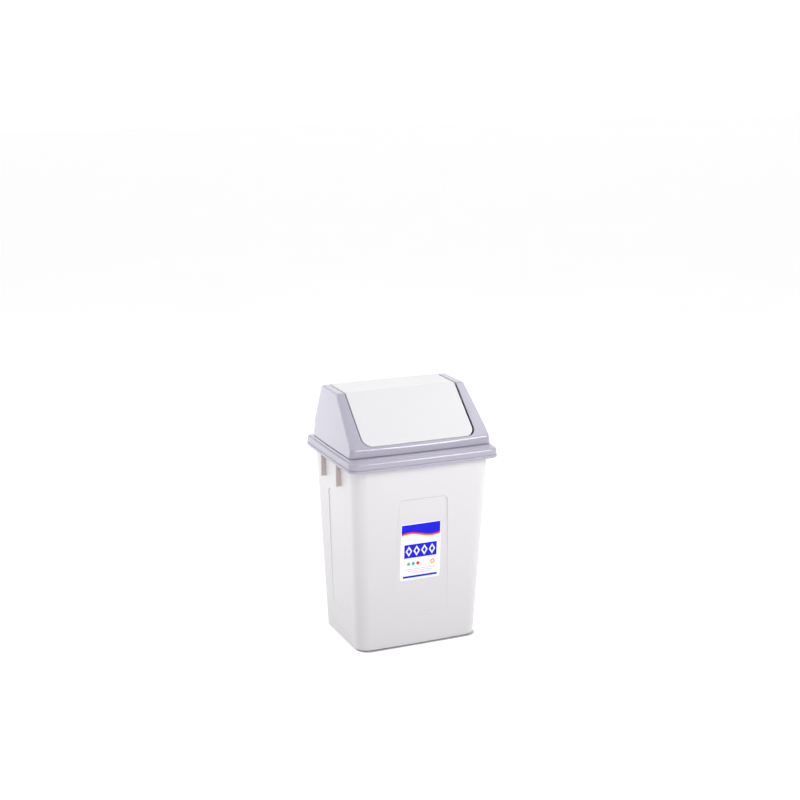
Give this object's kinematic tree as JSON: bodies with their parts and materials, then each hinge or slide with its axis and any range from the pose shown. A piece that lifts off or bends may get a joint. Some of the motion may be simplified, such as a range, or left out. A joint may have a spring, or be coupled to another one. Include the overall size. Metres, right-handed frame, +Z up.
{
  "type": "countertop trash can with swing lid",
  "caption": "Small tapered plastic bin with a lift-off lid frame, a long sloping front, and a flap that swings on stub pins at its ends.",
  "frame": {"origin": "middle of the footprint, on the surface the bin stands on", "axes": "+Z up, front with the label and the long lid slope towards -Y, +X along the wide side"},
  "size_m": [0.1916, 0.1524, 0.305],
  "materials": {
    "bucket_plastic": "smooth moulded white plastic with a soft gloss",
    "lid_plastic": "smooth moulded pale lilac grey plastic",
    "flap_plastic": "smooth moulded white plastic with a soft gloss",
    "label_film": null
  },
  "bodies": {
    "bin": {"bucket": "bucket_plastic", "label": "label_film"},
    "lid": {"lid_frame": "lid_plastic"},
    "flap": {"swing_flap": "flap_plastic"}
  },
  "joints": [
    {"name": "lid_lift", "type": "slide", "parent": "bin", "child": "lid", "axis": [0, 0, 1], "range_m": [0, 0.12]},
    {"name": "flap_swing", "type": "hinge", "parent": "lid", "child": "flap", "pos_m": [0, 0.0071, 0.296], "axis": [1, 0, 0], "range_deg": [-75, 75]}
  ]
}
